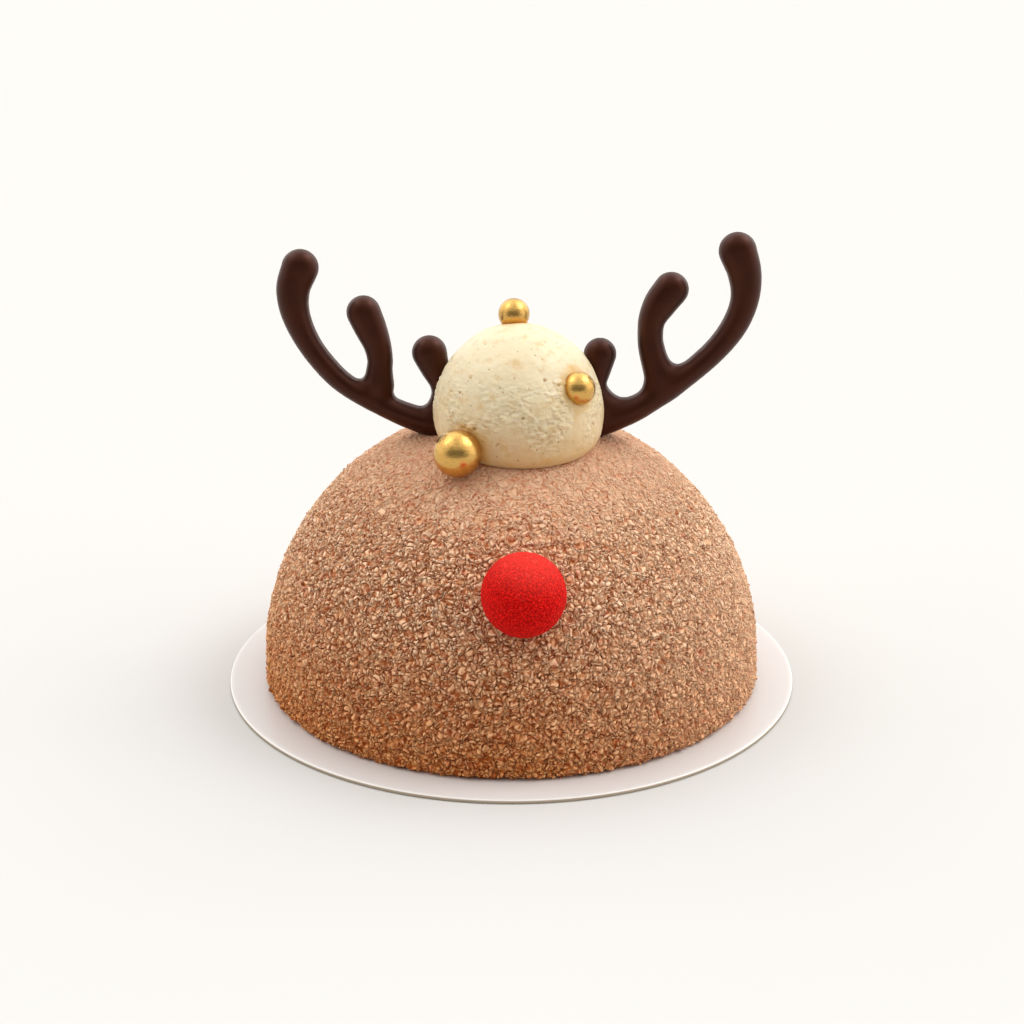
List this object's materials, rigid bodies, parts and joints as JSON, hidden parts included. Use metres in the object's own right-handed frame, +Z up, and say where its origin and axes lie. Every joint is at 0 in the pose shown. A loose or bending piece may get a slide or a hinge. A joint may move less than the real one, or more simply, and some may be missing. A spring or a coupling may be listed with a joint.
{
  "type": "christmas dome dessert",
  "caption": "Round dome of mousse with a crumb coat on a thin round card, topped by a ball of cream with sugar pearls, two branching chocolate antlers and a red velvet ball on the front.",
  "frame": {"origin": "centre of the card's underside, on the surface that the dessert stands on", "axes": "+Z up, -Y towards the front with the red ball, +X to the right seen from the front"},
  "size_m": [0.08, 0.08, 0.0639],
  "materials": {
    "card": "coated white board, slightly satin",
    "crumb_velvet": "rough crumb coat with a velvety bloom",
    "cream": "soft satin cream with fine pores",
    "red_velvet": "fine velvet spray, matt",
    "gold_sugar": "polished gold shell",
    "chocolate": "moulded dark chocolate, satin"
  },
  "bodies": {
    "root": {"card": "card", "dome": "crumb_velvet", "scoop": "cream", "red_ball": "red_velvet", "pearl_large": "gold_sugar", "pearl_top": "gold_sugar", "pearl_right": "gold_sugar", "antler_left": "chocolate", "antler_right": "chocolate"}
  },
  "joints": []
}
